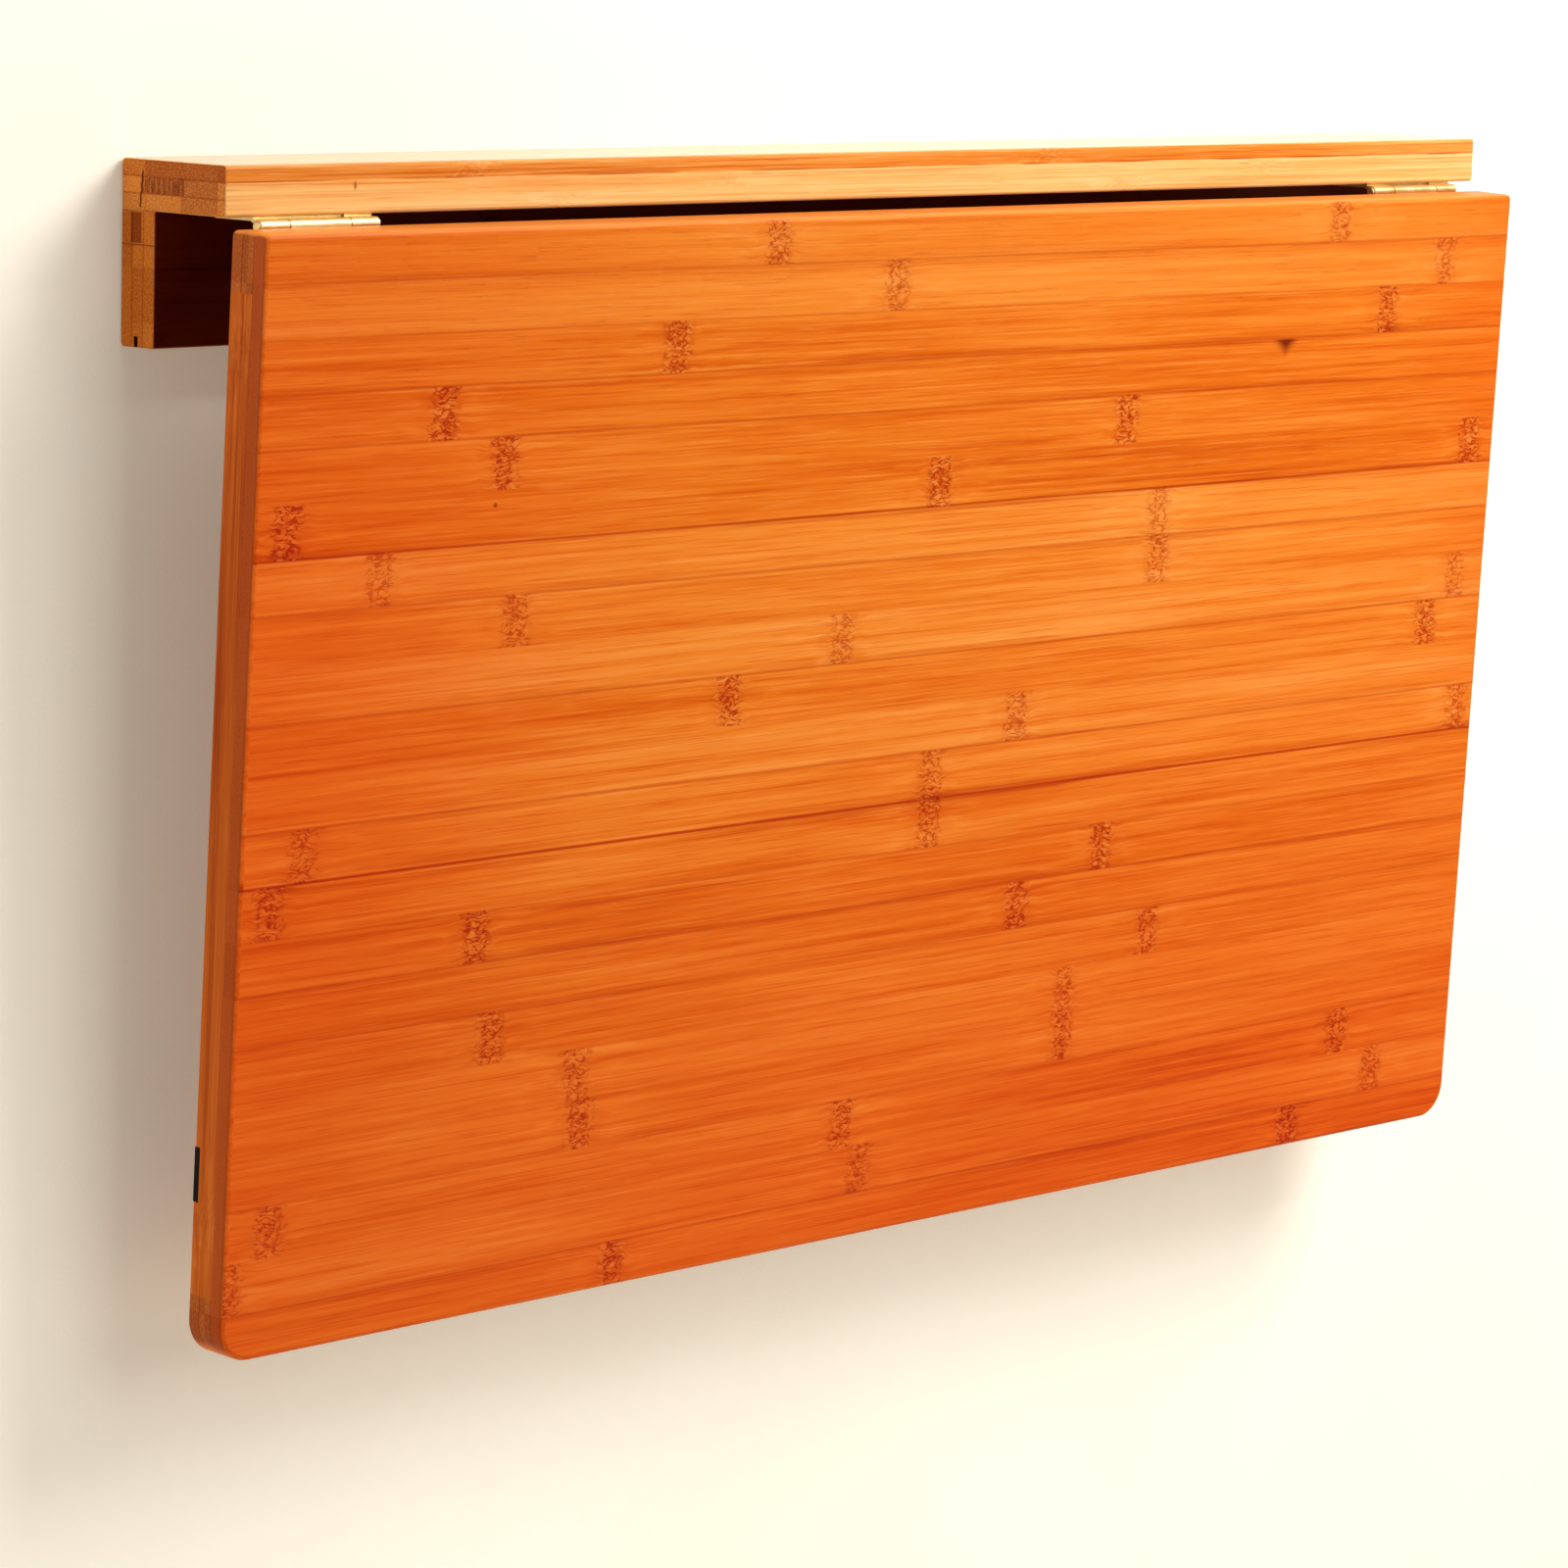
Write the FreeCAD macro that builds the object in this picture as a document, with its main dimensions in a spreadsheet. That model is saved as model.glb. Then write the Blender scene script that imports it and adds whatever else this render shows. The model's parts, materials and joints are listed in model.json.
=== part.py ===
import FreeCAD
import Part
import Sketcher
import math
import os
from types import SimpleNamespace

# Wall mounted drop leaf table of laminated bamboo.
# X runs along the wall, -Y away from it and +Z up. The origin is the centre of the wall plate's back.
# The leaf is drawn hanging down, with the prop frame folded against its back.
# All sizes are millimetres and degrees.

SIZES = {
    # boards
    "table_length": 700,
    "board_thickness": 18,
    "shelf_depth": 55,
    "plate_height": 48,
    "leaf_height": 400,
    "joint_gap": 1,
    "hang_angle": 2.4,
    "board_edge_radius": 1.5,
    "board_end_radius": 0.8,
    "leaf_front_radius": 2,
    "leaf_rear_radius": 1.2,
    "leaf_low_corner_radius": 14,
    "leaf_high_corner_radius": 2.2,
    # wall plate
    "kerf_width": 2,
    "kerf_depth": 4,
    "kerf_wall_distance": 7.4,
    "wall_hole_diameter": 5,
    "wall_hole_head_diameter": 10,
    "outer_hole_inset": 100,
    "inner_hole_inset": 260,
    # dowels between shelf and wall plate
    "dowel_diameter": 8,
    "dowel_length": 36,
    "dowel_shelf_depth": 10,
    "dowel_end_inset": 70,
    "dowel_chamfer_width": 0.8,
    # fits
    "fit_clearance": 0.05,
    "end_clearance": 0.5,
    "cut_overrun_length": 2,
    # butt hinges
    "hinge_length": 55,
    "hinge_inset": 14.5,
    "hinge_plate_thickness": 1.5,
    "hinge_plate_width": 24,
    "hinge_corner_radius": 2,
    "barrel_diameter": 4.6,
    "barrel_clearance": 0.9,
    "middle_knuckle_length": 28,
    "knuckle_gap": 0.5,
    "hinge_pin_diameter": 2.4,
    "pin_head_diameter": 3.6,
    "pin_head_thickness": 0.8,
    "hinge_screw_distance": 14,
    "hinge_screw_inset": 8,
    "hinge_screw_diameter": 3,
    "hinge_screw_head_diameter": 5.8,
    "hinge_screw_length": 14,
    "screw_tip_length": 3,
    "screw_tip_angle": 20,
    "screw_recess_width": 0.9,
    "screw_recess_depth": 1,
    # end battens and stiffener bar of the leaf
    "batten_width": 20,
    "batten_depth": 12,
    "batten_high_inset": 21,
    "batten_low_inset": 23,
    "bar_width": 20,
    "bar_thickness": 3,
    "bar_end_inset": 1,
    "bar_screw_inset": 60,
    "bar_screw_diameter": 3.5,
    "bar_screw_head_diameter": 6.4,
    "bar_screw_length": 14,
    # pivots of the prop frame
    "pivot_edge_distance": 140,
    "prop_leaf_gap": 1,
    "block_width": 24,
    "block_length": 50,
    "block_ear_thickness": 9,
    "block_boss_radius": 10,
    "block_corner_radius": 2,
    "block_screw_inset": 8,
    "block_screw_diameter": 4,
    "block_screw_head_diameter": 7.6,
    "block_screw_length": 22,
    "pivot_pin_diameter": 6,
    "pivot_head_diameter": 10,
    "pivot_head_thickness": 2,
    "prop_side_gap": 1,
    "washer_diameter": 14,
    "washer_thickness": 0.8,
    # prop frame
    "prop_end_inset": 89,
    "foot_edge_inset": 26,
    "stile_width": 30,
    "rail_width": 30,
    "upper_rail_inset": 45,
    "lower_rail_inset": 45,
    "rail_dowel_diameter": 6,
    "rail_dowel_length": 24,
    "rail_dowel_inset": 8,
    "foot_peg_diameter": 8,
    "foot_peg_length": 10,
    "foot_edge_radius": 1,
    "magnet_diameter": 12,
    "magnet_thickness": 3,
    "magnet_foot_inset": 31.5,
}

SHELF_DOWEL_COUNT = 5
HINGE_SCREW_COUNT = 3
BAR_SCREW_COUNT = 5
SCREW_RECESS_SHARE = 0.62
SIDES = {"left": -1, "right": 1}
COUNTERSINK_ANGLE = 90
SAME_PLACE_SHARE = 1e-6

doc = FreeCAD.newDocument("DropLeafTable")
sheet = doc.addObject("Spreadsheet::Sheet", "Sizes")
parts = []


class Size:
    """A number together with the sheet formula that gives it."""

    def __init__(self, text, number):
        self.text = text
        self.number = number

    def __add__(self, other):
        other = as_size(other)
        return Size(f"({self.text} + {other.text})", self.number + other.number)

    def __sub__(self, other):
        other = as_size(other)
        return Size(f"({self.text} - {other.text})", self.number - other.number)

    def __mul__(self, other):
        other = as_size(other)
        return Size(f"({self.text} * {other.text})", self.number * other.number)

    def __truediv__(self, other):
        other = as_size(other)
        return Size(f"({self.text} / {other.text})", self.number / other.number)

    def __neg__(self):
        return self * -1

    __rmul__ = __mul__


def as_size(value):
    if isinstance(value, Size):
        return value
    return Size(str(value), value)


def sine(angle):
    return Size(f"sin({angle.text})", math.sin(math.radians(angle.number)))


def cosine(angle):
    return Size(f"cos({angle.text})", math.cos(math.radians(angle.number)))


def bind(thing, path, size):
    thing.setExpression(path, as_size(size).text)


def filled_sheet():
    """Writes every size into a cell of its own and gives the sizes back by name."""
    named = {}
    for row, (name, number) in enumerate(SIZES.items(), 1):
        sheet.set(f"A{row}", name)
        sheet.set(f"B{row}", str(number))
        sheet.setAlias(f"B{row}", name)
        named[name] = Size(f"Sizes.{name}", number)
    doc.recompute()
    return SimpleNamespace(**named)


# Bodies and sketches


def new_body(name, place=(0, 0, 0), turn=None):
    """A named sub-part whose own origin lies at a place and leans by an angle about X."""
    body = doc.addObject("PartDesign::Body", name)
    body.Label = name
    x, y, z = [as_size(value) for value in place]
    angle = turn.number if turn else 0
    base = FreeCAD.Vector(x.number, y.number, z.number)
    body.Placement = FreeCAD.Placement(base, FreeCAD.Rotation(FreeCAD.Vector(1, 0, 0), angle))
    for path, value in zip("xyz", (x, y, z)):
        bind(body, f"Placement.Base.{path}", value)
    if turn:
        bind(body, "Placement.Rotation.Angle", turn)
    parts.append(body)
    return body


def new_sketch(body, plane, offset=0):
    sketch = body.newObject("Sketcher::SketchObject", f"{body.Name}_outline")
    support = [feature for feature in body.Origin.OriginFeatures if feature.Role == plane][0]
    sketch.AttachmentSupport = [(support, "")]
    sketch.MapMode = "FlatFace"
    bind(sketch, "AttachmentOffset.Base.z", offset)
    return sketch


def hold_point(sketch, geometry, point, x, y):
    """Fixes a point of the sketch at its distances from the sketch's two axes."""
    for kind, axis, distance in (("DistanceX", -2, as_size(x)), ("DistanceY", -1, as_size(y))):
        if distance.number == 0:
            sketch.addConstraint(Sketcher.Constraint("PointOnObject", geometry, point, axis))
        else:
            constraint = Sketcher.Constraint(kind, -1, 1, geometry, point, distance.number)
            index = sketch.addConstraint(constraint)
            bind(sketch, f"Constraints[{index}]", distance)


def rectangle(sketch, left, low, right, high):
    corners = [(left, low), (right, low), (right, high), (left, high)]
    points = [FreeCAD.Vector(as_size(x).number, as_size(y).number, 0) for x, y in corners]
    first = sketch.GeometryCount
    for start, end in zip(points, points[1:] + points[:1]):
        sketch.addGeometry(Part.LineSegment(start, end), False)
    for step, (x, y) in enumerate(corners):
        following = first + (step + 1) % len(corners)
        sketch.addConstraint(Sketcher.Constraint("Coincident", first + step, 2, following, 1))
        hold_point(sketch, first + step, 1, x, y)


def disc(sketch, x, y, radius):
    centre = FreeCAD.Vector(as_size(x).number, as_size(y).number, 0)
    circle = Part.Circle(centre, FreeCAD.Vector(0, 0, 1), radius.number)
    geometry = sketch.addGeometry(circle, False)
    hold_point(sketch, geometry, 3, x, y)
    index = sketch.addConstraint(Sketcher.Constraint("Radius", geometry, radius.number))
    bind(sketch, f"Constraints[{index}]", radius)


def discs(body, plane, offset, places, radius):
    sketch = new_sketch(body, plane, offset)
    for x, y in places:
        disc(sketch, x, y, radius)
    return sketch


# Features: a pad grows along its sketch's normal, and so does every cut unless it is turned back


def pad(body, sketch, length, symmetric=False, back=False, taper=0):
    feature = body.newObject("PartDesign::Pad", f"{body.Name}_pad")
    feature.Profile = sketch
    feature.SideType = "Symmetric" if symmetric else "One side"
    feature.Reversed = back
    bind(feature, "Length", length)
    bind(feature, "TaperAngle", taper)
    return feature


def pocket(body, sketch, depth=None, back=False):
    """A cut to a depth, or right through both ways where no depth is given."""
    feature = body.newObject("PartDesign::Pocket", f"{body.Name}_pocket")
    feature.Profile = sketch
    if depth is None:
        feature.SideType = "Two sides"
        feature.Type = "ThroughAll"
        feature.Type2 = "ThroughAll"
    else:
        feature.Reversed = not back
        bind(feature, "Length", depth)
    return feature


def countersunk_holes(body, sketch, shank, mouth):
    doc.recompute()
    feature = body.newObject("PartDesign::Hole", f"{body.Name}_hole")
    feature.Profile = sketch
    feature.Reversed = True
    feature.DepthType = "ThroughAll"
    feature.HoleCutType = "Countersink"
    feature.HoleCutCustomValues = True
    feature.HoleCutCountersinkAngle = COUNTERSINK_ANGLE
    bind(feature, "Diameter", shank)
    bind(feature, "HoleCutDiameter", mouth)
    return feature


def same_place(value, place):
    return abs(value - place) < SAME_PLACE_SHARE * size.table_length.number


def lies_at(edge, axis, place):
    """True where the whole edge lies in the plane that an axis crosses at a place."""
    low = getattr(edge.BoundBox, f"{axis}Min")
    high = getattr(edge.BoundBox, f"{axis}Max")
    place = as_size(place).number
    return same_place(low, place) and same_place(high, place)


def runs_along(edge, axis):
    others = [name for name in "XYZ" if name != axis]
    return all(same_place(getattr(edge.BoundBox, f"{name}Length"), 0) for name in others)


def edge_feature(kind, amount):
    def worked(body, chosen, size_of_edge):
        doc.recompute()
        base = body.Tip
        names = [f"Edge{index}" for index, edge in enumerate(base.Shape.Edges, 1) if chosen(edge)]
        feature = body.newObject(f"PartDesign::{kind}", f"{body.Name}_{kind.lower()}")
        feature.Base = (base, names)
        bind(feature, amount, size_of_edge)
        return feature
    return worked


rounded = edge_feature("Fillet", "Radius")
chamfered = edge_feature("Chamfer", "Size")


def screw_row(name, plane, offset, places, screw, place, turn=None):
    """A group of countersunk screws whose heads are flush with the plane that they start from."""
    body = new_body(name, place, turn)
    head_depth = (screw.head - screw.shank) / 2
    pad(body, discs(body, plane, offset, places, screw.head / 2), head_depth, taper=-COUNTERSINK_ANGLE / 2)
    straight = screw.length - size.screw_tip_length
    pad(body, discs(body, plane, offset, places, screw.shank / 2), straight)
    tip = discs(body, plane, as_size(offset) + straight, places, screw.shank / 2)
    pad(body, tip, size.screw_tip_length, taper=-size.screw_tip_angle)
    long_half = screw.head * SCREW_RECESS_SHARE / 2
    short_half = size.screw_recess_width / 2
    for half_width, half_height in ((long_half, short_half), (short_half, long_half)):
        slot = new_sketch(body, plane, offset)
        for x, y in moved(places, 0, 0):
            rectangle(slot, x - half_width, y - half_height, x + half_width, y + half_height)
        pocket(body, slot, size.screw_recess_depth)


def pilot_holes(body, plane, offset, places, screw, through):
    """Blind holes that a screw fills after it has passed through a plate."""
    sketch = discs(body, plane, offset, places, screw.shank / 2 + size.fit_clearance)
    pocket(body, sketch, screw.length - through + size.end_clearance)


size = filled_sheet()
fit = size.fit_clearance

hinge_screw = SimpleNamespace(
    shank=size.hinge_screw_diameter, head=size.hinge_screw_head_diameter, length=size.hinge_screw_length)
bar_screw = SimpleNamespace(
    shank=size.bar_screw_diameter, head=size.bar_screw_head_diameter, length=size.bar_screw_length)
block_screw = SimpleNamespace(
    shank=size.block_screw_diameter, head=size.block_screw_head_diameter, length=size.block_screw_length)

# Levels and places that several pieces share
half_length = size.table_length / 2
plate_top = size.plate_height / 2
shelf_top = plate_top + size.board_thickness
barrel_radius = size.barrel_diameter / 2
pin_drop = barrel_radius + size.barrel_clearance
pin_y = -(size.shelf_depth + size.joint_gap / 2)
pin_z = plate_top - pin_drop
leaf_top = -size.joint_gap / 2
leaf_bottom = leaf_top - size.leaf_height
leaf_rear = -pin_drop
leaf_front = leaf_rear - size.board_thickness
half_board = size.board_thickness / 2
hinge_centre = half_length - size.hinge_inset - size.hinge_length / 2
pivot_standoff = half_board + size.prop_leaf_gap
pivot_y = leaf_rear + pivot_standoff
pivot_z = leaf_top - size.pivot_edge_distance
prop_reach = size.leaf_height - size.pivot_edge_distance - size.foot_edge_inset - half_board
lower_rail_drop = prop_reach - size.lower_rail_inset
stile_outer = half_length - size.prop_end_inset
stile_centre = stile_outer - size.stile_width / 2
stile_inner = stile_outer - size.stile_width
block_inner = stile_outer + size.prop_side_gap
block_centre = block_inner + size.block_width / 2
magnet_z = size.magnet_foot_inset - prop_reach
bar_centre = pivot_z + magnet_z


def leaf_place(x, y, z):
    """Where a point lies once the leaf hangs at its angle, measured from the hinge pins' axis."""
    lean_cosine = cosine(size.hang_angle)
    lean_sine = sine(size.hang_angle)
    y = as_size(y)
    z = as_size(z)
    return (x, pin_y + y * lean_cosine - z * lean_sine, pin_z + y * lean_sine + z * lean_cosine)


def pivot_place(x):
    return leaf_place(x, pivot_y, pivot_z)


def row(count, half_run):
    """Places spread evenly from one end of a run to the other."""
    return [half_run * (2 * step / (count - 1) - 1) for step in range(count)]


def pair(half_run):
    return [side * half_run for side in SIDES.values()]


# Places of the fasteners
dowel_row = row(SHELF_DOWEL_COUNT, half_length - size.dowel_end_inset)
dowel_places = [(x, -half_board) for x in dowel_row]
outer_holes = pair(half_length - size.outer_hole_inset)
inner_holes = pair(half_length - size.inner_hole_inset)
wall_hole_places = [(x, 0) for x in outer_holes + inner_holes]
hinge_row = row(HINGE_SCREW_COUNT, size.hinge_length / 2 - size.hinge_screw_inset)
shelf_screw_places = [(x, size.hinge_screw_distance) for x in hinge_row]
leaf_screw_places = [(x, -size.hinge_screw_distance) for x in hinge_row]
bar_row = row(BAR_SCREW_COUNT, half_length - size.bar_screw_inset)
bar_screw_places = [(x, bar_centre) for x in bar_row]
block_screw_places = [(0, z) for z in pair(size.block_length / 2 - size.block_screw_inset)]


def moved(places, x, y):
    return [(as_size(x) + place_x, as_size(y) + place_y) for place_x, place_y in places]


# Shelf, wall plate and the dowels between them


def shelf_board():
    body = new_body("shelf_board")
    outline = new_sketch(body, "YZ_Plane")
    rectangle(outline, -size.shelf_depth, plate_top, 0, shelf_top)
    pad(body, outline, size.table_length, symmetric=True)

    def outer_long_edge(edge):
        hidden = lies_at(edge, "Y", 0) and lies_at(edge, "Z", plate_top)
        return runs_along(edge, "X") and not hidden

    rounded(body, outer_long_edge, size.board_edge_radius)
    rounded(body, lambda edge: lies_at(edge, "X", half_length), size.board_end_radius)
    rounded(body, lambda edge: lies_at(edge, "X", -half_length), size.board_end_radius)
    holes = discs(body, "XY_Plane", plate_top, dowel_places, size.dowel_diameter / 2 + fit)
    pocket(body, holes, size.dowel_shelf_depth + size.end_clearance)
    for side in SIDES.values():
        places = moved(shelf_screw_places, side * hinge_centre, pin_y)
        pilot_holes(body, "XY_Plane", plate_top, places, hinge_screw, size.hinge_plate_thickness)


def wall_plate():
    body = new_body("wall_plate")
    outline = new_sketch(body, "YZ_Plane")
    rectangle(outline, -size.board_thickness, -plate_top, 0, plate_top)
    pad(body, outline, size.table_length, symmetric=True)
    rounded(body, lambda edge: runs_along(edge, "X") and lies_at(edge, "Z", -plate_top), size.board_edge_radius)
    rounded(body, lambda edge: lies_at(edge, "X", half_length), size.board_end_radius)
    rounded(body, lambda edge: lies_at(edge, "X", -half_length), size.board_end_radius)
    kerf = new_sketch(body, "YZ_Plane")
    kerf_rear = -size.kerf_wall_distance
    rectangle(kerf, kerf_rear - size.kerf_width, -plate_top - size.cut_overrun_length,
              kerf_rear, size.kerf_depth - plate_top)
    pocket(body, kerf)
    depth = size.dowel_length - size.dowel_shelf_depth + size.end_clearance
    holes = discs(body, "XY_Plane", plate_top, dowel_places, size.dowel_diameter / 2 + fit)
    pocket(body, holes, depth, back=True)
    sketch = discs(body, "XZ_Plane", size.board_thickness, wall_hole_places, size.wall_hole_diameter / 2)
    holes = countersunk_holes(body, sketch, size.wall_hole_diameter, size.wall_hole_head_diameter)
    holes.Reversed = False


def shelf_dowels():
    body = new_body("shelf_dowels")
    bottom = plate_top + size.dowel_shelf_depth - size.dowel_length
    pad(body, discs(body, "XY_Plane", bottom, dowel_places, size.dowel_diameter / 2), size.dowel_length)
    chamfered(body, lambda edge: same_place(edge.BoundBox.ZLength, 0), size.dowel_chamfer_width)


# Butt hinges: the shelf plate carries the two outer knuckles, the leaf plate the long middle one


def hinge_plate(name, place, turn, flat, web, tip, cuts, screws, plane):
    """A flat plate with a web to its knuckles about the pin, and countersunk holes in its inner face."""
    body = new_body(name, place, turn)
    outline = new_sketch(body, "YZ_Plane")
    rectangle(outline, *flat)
    pad(body, outline, size.hinge_length, symmetric=True)
    rounded(body, lambda edge: lies_at(edge, *tip) and not runs_along(edge, "X"), size.hinge_corner_radius)
    strip = new_sketch(body, "YZ_Plane")
    rectangle(strip, *web)
    pad(body, strip, size.hinge_length, symmetric=True)
    pad(body, discs(body, "YZ_Plane", 0, [(0, 0)], barrel_radius), size.hinge_length, symmetric=True)
    bore = discs(body, "YZ_Plane", 0, [(0, 0)], size.hinge_pin_diameter / 2 + fit)
    pocket(body, bore)
    notches = new_sketch(body, plane)
    for cut in cuts:
        rectangle(notches, *cut)
    pocket(body, notches)
    holes = discs(body, plane, pin_drop - size.hinge_plate_thickness, screws, hinge_screw.shank / 2)
    countersunk_holes(body, holes, hinge_screw.shank + fit * 2, hinge_screw.head + fit * 2)


def hinge(side_name, side):
    middle = size.middle_knuckle_length / 2
    notch = middle + size.knuckle_gap
    outside = size.hinge_length / 2 + size.cut_overrun_length
    beyond = pin_drop + size.cut_overrun_length
    inner = pin_drop - size.hinge_plate_thickness
    x = side * hinge_centre
    fixed = (x, pin_y, pin_z)
    hanging = leaf_place(x, 0, 0)

    hinge_plate(
        f"{side_name}_hinge_shelf_plate", fixed, None,
        (barrel_radius, inner, size.hinge_plate_width, pin_drop),
        (0, barrel_radius / 2, pin_drop, barrel_radius),
        ("Y", size.hinge_plate_width),
        [(-notch, -beyond, notch, pin_drop)],
        shelf_screw_places, "XY_Plane")
    hinge_plate(
        f"{side_name}_hinge_leaf_plate", hanging, size.hang_angle,
        (-pin_drop, -size.hinge_plate_width, -inner, -barrel_radius),
        (-barrel_radius, -pin_drop, -barrel_radius / 2, 0),
        ("Z", -size.hinge_plate_width),
        [(-outside, -pin_drop, -middle, beyond), (middle, -pin_drop, outside, beyond)],
        leaf_screw_places, "XZ_Plane")

    pin = new_body(f"{side_name}_hinge_pin", fixed)
    shaft = discs(pin, "YZ_Plane", 0, [(0, 0)], size.hinge_pin_diameter / 2)
    pad(pin, shaft, size.hinge_length, symmetric=True)
    for end in SIDES.values():
        head = discs(pin, "YZ_Plane", end * size.hinge_length / 2, [(0, 0)], size.pin_head_diameter / 2)
        pad(pin, head, size.pin_head_thickness, back=end < 0)
    head_ends = pair(size.hinge_length / 2 + size.pin_head_thickness)
    outer_rim = (lambda edge: any(lies_at(edge, "X", end) for end in head_ends))
    rounded(pin, outer_rim, size.pin_head_thickness / 2)

    screw_row(f"{side_name}_hinge_shelf_screws", "XY_Plane", inner, shelf_screw_places, hinge_screw, fixed)
    screw_row(f"{side_name}_hinge_leaf_screws", "XZ_Plane", inner, leaf_screw_places, hinge_screw,
              hanging, size.hang_angle)


# Drop leaf with its end battens and steel bar, all measured from the hinge pins' axis

batten_high = leaf_top - size.batten_high_inset
batten_low = leaf_bottom + size.batten_low_inset
batten_inner = half_length - size.batten_width
bar_high = bar_centre + size.bar_width / 2
bar_low = bar_centre - size.bar_width / 2


def leaf_body(name, x=0):
    return new_body(name, leaf_place(x, 0, 0), size.hang_angle)


def bar_groove(body, half_run):
    groove = new_sketch(body, "XZ_Plane", -leaf_rear)
    rectangle(groove, -half_run, bar_low, half_run, bar_high)
    pocket(body, groove, size.bar_thickness)


def leaf_panel():
    body = leaf_body("leaf_panel")
    outline = new_sketch(body, "XZ_Plane", -leaf_rear)
    rectangle(outline, -half_length, leaf_bottom, half_length, leaf_top)
    pad(body, outline, size.board_thickness)
    corner = (lambda level: lambda edge: runs_along(edge, "Y") and lies_at(edge, "Z", level))
    rounded(body, corner(leaf_bottom), size.leaf_low_corner_radius)
    rounded(body, corner(leaf_top), size.leaf_high_corner_radius)
    rounded(body, lambda edge: lies_at(edge, "Y", leaf_front), size.leaf_front_radius)
    rounded(body, lambda edge: lies_at(edge, "Y", leaf_rear), size.leaf_rear_radius)
    for side in SIDES.values():
        rabbet = new_sketch(body, "XZ_Plane", -leaf_rear)
        outer = half_length + size.cut_overrun_length
        left, right = (batten_inner, outer) if side > 0 else (-outer, -batten_inner)
        rectangle(rabbet, left, batten_low, right, batten_high)
        pocket(body, rabbet, size.batten_depth)
    bar_groove(body, half_length + size.cut_overrun_length)
    for side in SIDES.values():
        places = moved(leaf_screw_places, side * hinge_centre, 0)
        pilot_holes(body, "XZ_Plane", -leaf_rear, places, hinge_screw, size.hinge_plate_thickness)
        places = moved(block_screw_places, side * block_centre, pivot_z)
        pilot_holes(body, "XZ_Plane", -leaf_rear, places, block_screw, size.block_ear_thickness)
    floor = size.bar_thickness - leaf_rear
    pilot_holes(body, "XZ_Plane", floor, bar_screw_places, bar_screw, size.bar_thickness)


def end_batten(side_name, side):
    body = leaf_body(f"{side_name}_end_batten")
    outline = new_sketch(body, "XZ_Plane", -leaf_rear)
    left, right = (batten_inner, half_length) if side > 0 else (-half_length, -batten_inner)
    rectangle(outline, left, batten_low, right, batten_high)
    pad(body, outline, size.batten_depth)
    outer_edge = (lambda edge: runs_along(edge, "Z") and lies_at(edge, "Y", leaf_rear)
                  and lies_at(edge, "X", side * half_length))
    rounded(body, outer_edge, size.leaf_rear_radius)
    bar_groove(body, half_length + size.cut_overrun_length)


def stiffener_bar():
    body = leaf_body("stiffener_bar")
    outline = new_sketch(body, "XZ_Plane", -leaf_rear)
    half_run = half_length - size.bar_end_inset
    rectangle(outline, -half_run, bar_low, half_run, bar_high)
    pad(body, outline, size.bar_thickness)
    holes = discs(body, "XZ_Plane", -leaf_rear, bar_screw_places, bar_screw.shank / 2)
    countersunk_holes(body, holes, bar_screw.shank + fit * 2, bar_screw.head + fit * 2)
    screw_row("stiffener_screws", "XZ_Plane", -leaf_rear, bar_screw_places, bar_screw,
              leaf_place(0, 0, 0), size.hang_angle)


# Pivots on the leaf's back, measured from the prop frame's own axis


def pivot_body(name, x=0):
    return new_body(name, pivot_place(x), size.hang_angle)


def pivot_block(side_name, side):
    body = pivot_body(f"{side_name}_pivot_block", side * block_centre)
    foot = -pivot_standoff
    ear = size.block_ear_thickness - pivot_standoff
    base = new_sketch(body, "YZ_Plane")
    rectangle(base, foot, -size.block_length / 2, ear, size.block_length / 2)
    pad(body, base, size.block_width, symmetric=True)
    upright = (lambda edge: runs_along(edge, "Y"))
    rounded(body, upright, size.block_corner_radius)
    boss = new_sketch(body, "YZ_Plane")
    rectangle(boss, foot, -size.block_boss_radius, 0, size.block_boss_radius)
    pad(body, boss, size.block_width, symmetric=True)
    pad(body, discs(body, "YZ_Plane", 0, [(0, 0)], size.block_boss_radius), size.block_width, symmetric=True)
    pocket(body, discs(body, "YZ_Plane", 0, [(0, 0)], size.pivot_pin_diameter / 2 + fit))
    holes = discs(body, "XZ_Plane", -ear, block_screw_places, block_screw.shank / 2)
    countersunk_holes(body, holes, block_screw.shank + fit * 2, block_screw.head + fit * 2)
    screw_row(f"{side_name}_block_screws", "XZ_Plane", -ear, block_screw_places, block_screw,
              pivot_place(side * block_centre), size.hang_angle)


def pivot_pin(side_name, side):
    body = pivot_body(f"{side_name}_pivot_pin", side * stile_outer)
    outward = size.prop_side_gap + size.block_width
    shaft = discs(body, "YZ_Plane", -side * size.stile_width, [(0, 0)], size.pivot_pin_diameter / 2)
    pad(body, shaft, size.stile_width + outward, back=side < 0)
    head = discs(body, "YZ_Plane", side * outward, [(0, 0)], size.pivot_head_diameter / 2)
    pad(body, head, size.pivot_head_thickness, back=side < 0)
    end = side * (outward + size.pivot_head_thickness)
    rounded(body, lambda edge: lies_at(edge, "X", end), size.pivot_head_thickness / 2)


def pivot_washers():
    body = pivot_body("pivot_washers")
    for side in SIDES.values():
        inner = side * (stile_outer + (size.prop_side_gap - size.washer_thickness) / 2)
        ring = discs(body, "YZ_Plane", inner, [(0, 0)], size.washer_diameter / 2)
        disc(ring, 0, 0, size.pivot_pin_diameter / 2 + fit)
        pad(body, ring, size.washer_thickness, back=side < 0)


# Prop frame: two stiles and two rails, rubber feet at the ends, magnets facing the steel bar

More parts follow.
